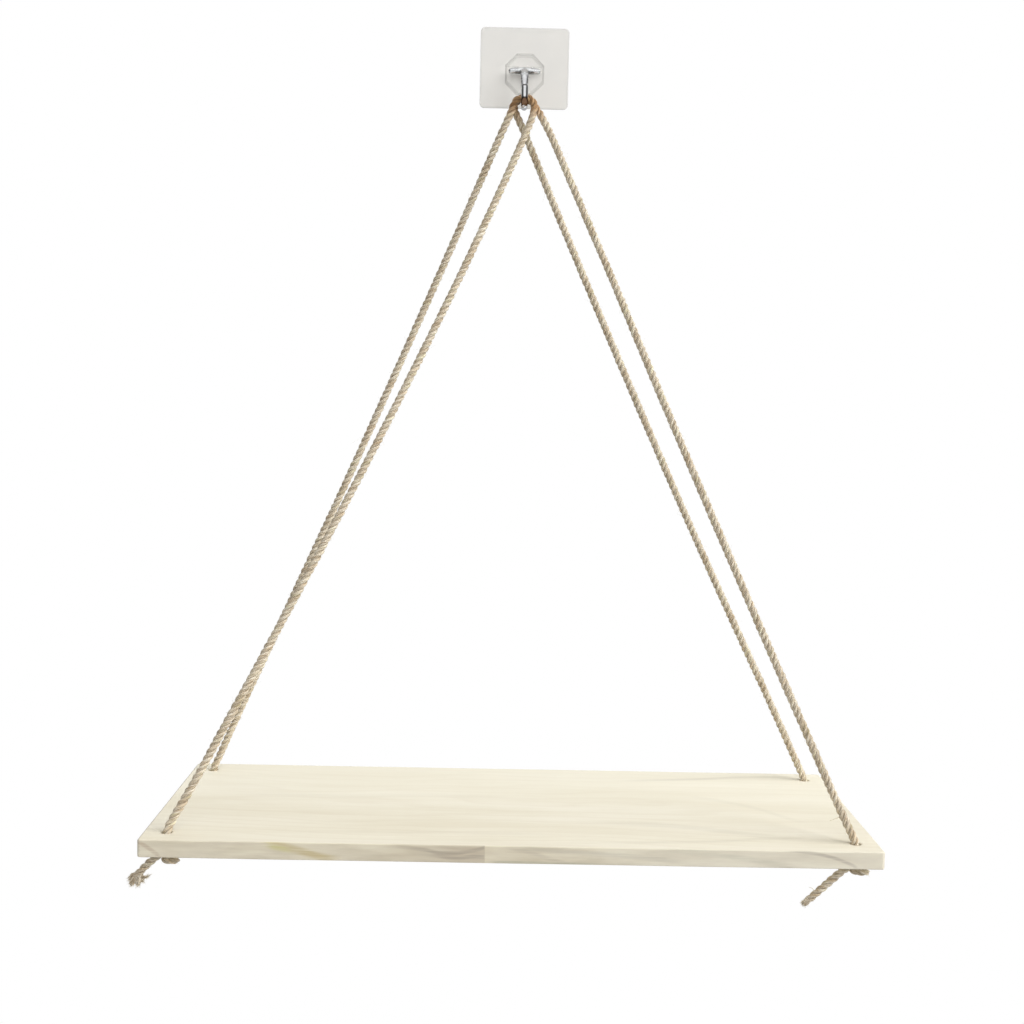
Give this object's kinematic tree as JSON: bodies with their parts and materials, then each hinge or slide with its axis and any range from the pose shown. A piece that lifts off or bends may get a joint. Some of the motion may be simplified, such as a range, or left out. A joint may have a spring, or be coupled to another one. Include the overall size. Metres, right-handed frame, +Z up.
{
  "type": "hanging rope shelf",
  "caption": "Pale wooden board slung on jute ropes with stopper knots, from a swinging chrome hook in a clear adhesive wall plate.",
  "frame": {"origin": "middle of the adhesive pad's back face, on the wall", "axes": "+X to the right along the board, +Y into the wall, +Z up; the front of the shelf faces -Y"},
  "size_m": [0.3546, 0.141, 0.4374],
  "materials": {
    "adhesive": "clear soft adhesive sheet",
    "clear_plastic": "clear moulded plastic, glossy",
    "chrome": "polished chrome plate",
    "pale_wood": "bare sanded pale softwood",
    "jute": "twisted three-strand jute, slightly hairy"
  },
  "bodies": {
    "wall_mount": {"adhesive_pad": "adhesive", "wall_plate": "clear_plastic", "hook_housing": "clear_plastic"},
    "hook": {"hook": "chrome"},
    "shelf": {"board": "pale_wood", "rope_left": "jute", "rope_right": "jute", "knot_front_left": "jute", "knot_back_left": "jute", "knot_front_right": "jute", "knot_back_right": "jute"}
  },
  "joints": [
    {"name": "hook_hinge", "type": "hinge", "parent": "wall_mount", "child": "hook", "pos_m": [0, -0.005, -0.002], "axis": [-1, 0, 0], "range_deg": [0, 35]},
    {"name": "shelf_sway", "type": "hinge", "parent": "hook", "child": "shelf", "pos_m": [0, -0.0174, -0.0231], "axis": [0, -1, 0], "range_deg": [-20, 20]}
  ]
}
